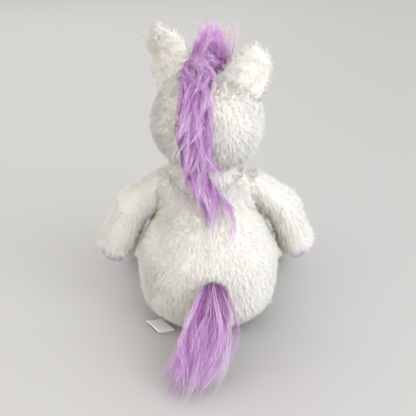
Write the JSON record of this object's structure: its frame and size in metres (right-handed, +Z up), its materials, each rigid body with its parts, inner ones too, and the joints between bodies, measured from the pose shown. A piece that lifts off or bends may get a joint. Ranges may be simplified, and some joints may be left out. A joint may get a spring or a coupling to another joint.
{
  "type": "plush unicorn",
  "caption": "Seated plush unicorn with a round pellet-weighted body, soft limbs, upright ears, twisted horn and a long-pile mane and tail.",
  "frame": {"origin": "Centre of the flat seat that the toy rests on.", "axes": "+Z is up, the toy faces -Y and its left side is +X. The head is turned to its right as the toy sits."},
  "size_m": [0.189, 0.2994, 0.2429],
  "materials": {
    "plush": "deep soft pile, cream white",
    "muzzle": "short velvety pile, cream",
    "lining": "short velvety pile, pale pink",
    "hoof": "short velvety pile, lilac",
    "mane": "long silky pile, purple at the root and pale lilac at the tip",
    "horn": "woven metallic cloth",
    "horn_thread": "twisted metallic thread",
    "filling": "loose polyester fibre",
    "bag_cloth": "plain weave",
    "pellets": "small beads",
    "thread": "plain thread",
    "face_thread": "embroidery thread",
    "eye": "polished black",
    "washer": "plain",
    "label": "blank satin"
  },
  "bodies": {
    "torso": {"seat_panel": "plush", "body_cover": "plush", "body_filling": "filling", "pellet_bag": "bag_cloth", "pellets": "pellets", "closing_stitches": "thread", "label": "label"},
    "neck": {"neck_cover": "plush", "neck_filling": "filling", "mane_nape_lock": "mane"},
    "head": {"head_cover": "plush", "head_filling": "filling", "muzzle_cover": "muzzle", "mane_backing": "mane", "mane_pile": "mane", "horn_cover": "horn", "horn_filling": "filling", "horn_thread": "horn_thread", "eye_left": "eye", "eye_right": "eye", "eye_washer_left": "washer", "eye_washer_right": "washer", "nostril_left": "face_thread", "nostril_right": "face_thread", "mouth_stitch": "face_thread"},
    "left_ear": {"ear_left": "plush", "ear_lining_left": "lining"},
    "right_ear": {"ear_right": "plush", "ear_lining_right": "lining"},
    "left_foreleg": {"foreleg_cover_left": "plush", "foreleg_filling_left": "filling", "front_hoof_left": "hoof"},
    "right_foreleg": {"foreleg_cover_right": "plush", "foreleg_filling_right": "filling", "front_hoof_right": "hoof"},
    "left_hindleg": {"hindleg_cover_left": "plush", "hindleg_filling_left": "filling", "hind_hoof_left": "hoof"},
    "right_hindleg": {"hindleg_cover_right": "plush", "hindleg_filling_right": "filling", "hind_hoof_right": "hoof"},
    "tail": {"tail_core": "mane", "tail_pile": "mane"}
  },
  "joints": [
    {"name": "head_turn", "type": "hinge", "parent": "torso", "child": "neck", "pos_m": [0, 0, 0.13], "axis": [0, 0, 1], "range_deg": [-20, 60]},
    {"name": "head_nod", "type": "hinge", "parent": "neck", "child": "head", "pos_m": [0, 0, 0.13], "axis": [0.9397, -0.342, 0], "range_deg": [-10, 18]},
    {"name": "left_ear_flop", "type": "hinge", "parent": "head", "child": "left_ear", "pos_m": [0.02654, -0.00753, 0.20179], "axis": [0.587, -0.5275, -0.6142], "range_deg": [-20, 25], "stiffness_Nm_per_rad": 0.01},
    {"name": "right_ear_flop", "type": "hinge", "parent": "head", "child": "right_ear", "pos_m": [-0.02517, 0.01129, 0.20179], "axis": [0.7887, 0.0268, 0.6142], "range_deg": [-20, 25], "stiffness_Nm_per_rad": 0.01},
    {"name": "left_foreleg_swing", "type": "hinge", "parent": "torso", "child": "left_foreleg", "pos_m": [0.0365, 0, 0.116], "axis": [-1, 0, 0], "range_deg": [-15, 70]},
    {"name": "right_foreleg_swing", "type": "hinge", "parent": "torso", "child": "right_foreleg", "pos_m": [-0.0365, 0, 0.116], "axis": [-1, 0, 0], "range_deg": [-15, 70]},
    {"name": "left_hindleg_lift", "type": "hinge", "parent": "torso", "child": "left_hindleg", "pos_m": [0.042, -0.055, 0.023], "axis": [-1, 0, 0], "range_deg": [0, 35]},
    {"name": "right_hindleg_lift", "type": "hinge", "parent": "torso", "child": "right_hindleg", "pos_m": [-0.042, -0.055, 0.023], "axis": [-1, 0, 0], "range_deg": [0, 35]},
    {"name": "tail_swing", "type": "hinge", "parent": "torso", "child": "tail", "pos_m": [-0.004, 0.057, 0.06], "axis": [0, 0, 1], "range_deg": [-38, 38]}
  ]
}
